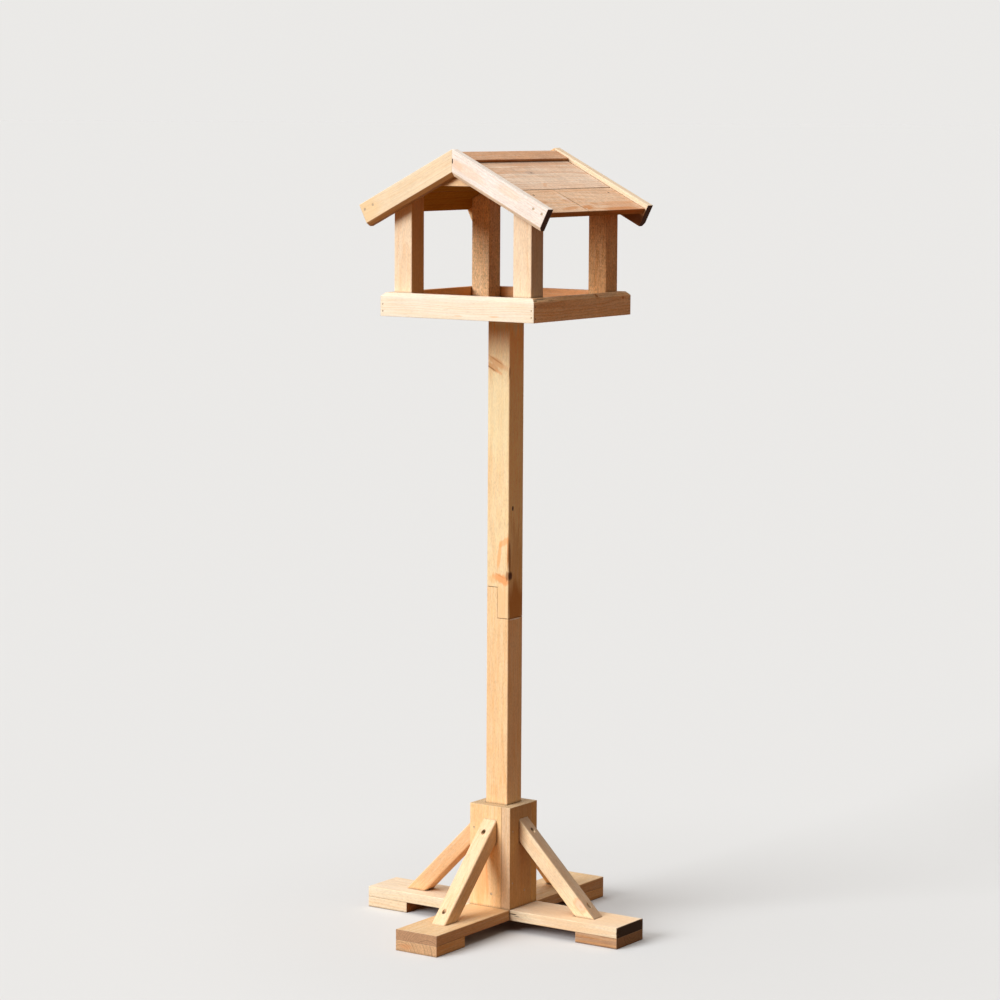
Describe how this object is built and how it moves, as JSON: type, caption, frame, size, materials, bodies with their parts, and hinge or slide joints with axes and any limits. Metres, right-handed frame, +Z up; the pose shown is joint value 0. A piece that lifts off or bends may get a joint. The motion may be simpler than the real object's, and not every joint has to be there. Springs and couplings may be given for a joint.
{
  "type": "bird table",
  "caption": "Free-standing wooden bird table: a square post in a braced cross base carries a railed feeding tray under an open gabled roof.",
  "frame": {"origin": "on the ground under the middle of the post, the bottom centre of the bounding box", "axes": "+Z up; the front gable faces -Y and the right eave faces +X"},
  "size_m": [0.514, 0.514, 1.327],
  "materials": {
    "base_pine": "planed softwood, light honey, lightly sanded edges",
    "post_pine": "planed softwood with small orange knots",
    "tray_pine": "planed softwood, pale",
    "roof_pine": "sawn softwood boards, pinkish tan",
    "house_pine": "planed softwood",
    "zinc_steel": "zinc-plated nails and screws, dulled"
  },
  "bodies": {
    "root": {"bargeboard_back_left": "house_pine", "bargeboard_back_right": "house_pine", "bargeboard_front_left": "house_pine", "bargeboard_front_right": "house_pine", "bargeboard_nails": "zinc_steel", "brace_back": "base_pine", "brace_front": "base_pine", "brace_left": "base_pine", "brace_right": "base_pine", "brace_screws": "zinc_steel", "eave_board_left": "roof_pine", "eave_board_right_back": "roof_pine", "eave_board_right_front": "roof_pine", "floor_board_1": "tray_pine", "floor_board_2": "tray_pine", "floor_board_3": "tray_pine", "floor_nails": "zinc_steel", "foot_pad_back": "base_pine", "foot_pad_front": "base_pine", "foot_pad_left": "base_pine", "foot_pad_nails": "zinc_steel", "foot_pad_right": "base_pine", "gusset_back": "house_pine", "gusset_front": "house_pine", "gusset_nails": "zinc_steel", "house_post_back_left": "house_pine", "house_post_back_right": "house_pine", "house_post_front_left": "house_pine", "house_post_front_right": "house_pine", "house_post_screws": "zinc_steel", "lap_screws": "zinc_steel", "leg_front_back": "base_pine", "leg_left_right": "base_pine", "post_foot_nails": "zinc_steel", "post_lower": "post_pine", "post_upper": "post_pine", "ridge_strip_left": "roof_pine", "ridge_strip_pins": "zinc_steel", "ridge_strip_right": "roof_pine", "roof_board_left": "roof_pine", "roof_board_right": "roof_pine", "roof_nails": "zinc_steel", "socket_board_back": "base_pine", "socket_board_front": "base_pine", "socket_board_left": "base_pine", "socket_board_right": "base_pine", "socket_nails": "zinc_steel", "socket_screws": "zinc_steel", "tray_bearer_left": "tray_pine", "tray_bearer_middle": "tray_pine", "tray_bearer_right": "tray_pine", "tray_rail_back": "tray_pine", "tray_rail_front": "tray_pine", "tray_rail_left": "tray_pine", "tray_rail_pins": "zinc_steel", "tray_rail_right": "tray_pine", "tray_screws": "zinc_steel"}
  },
  "joints": []
}
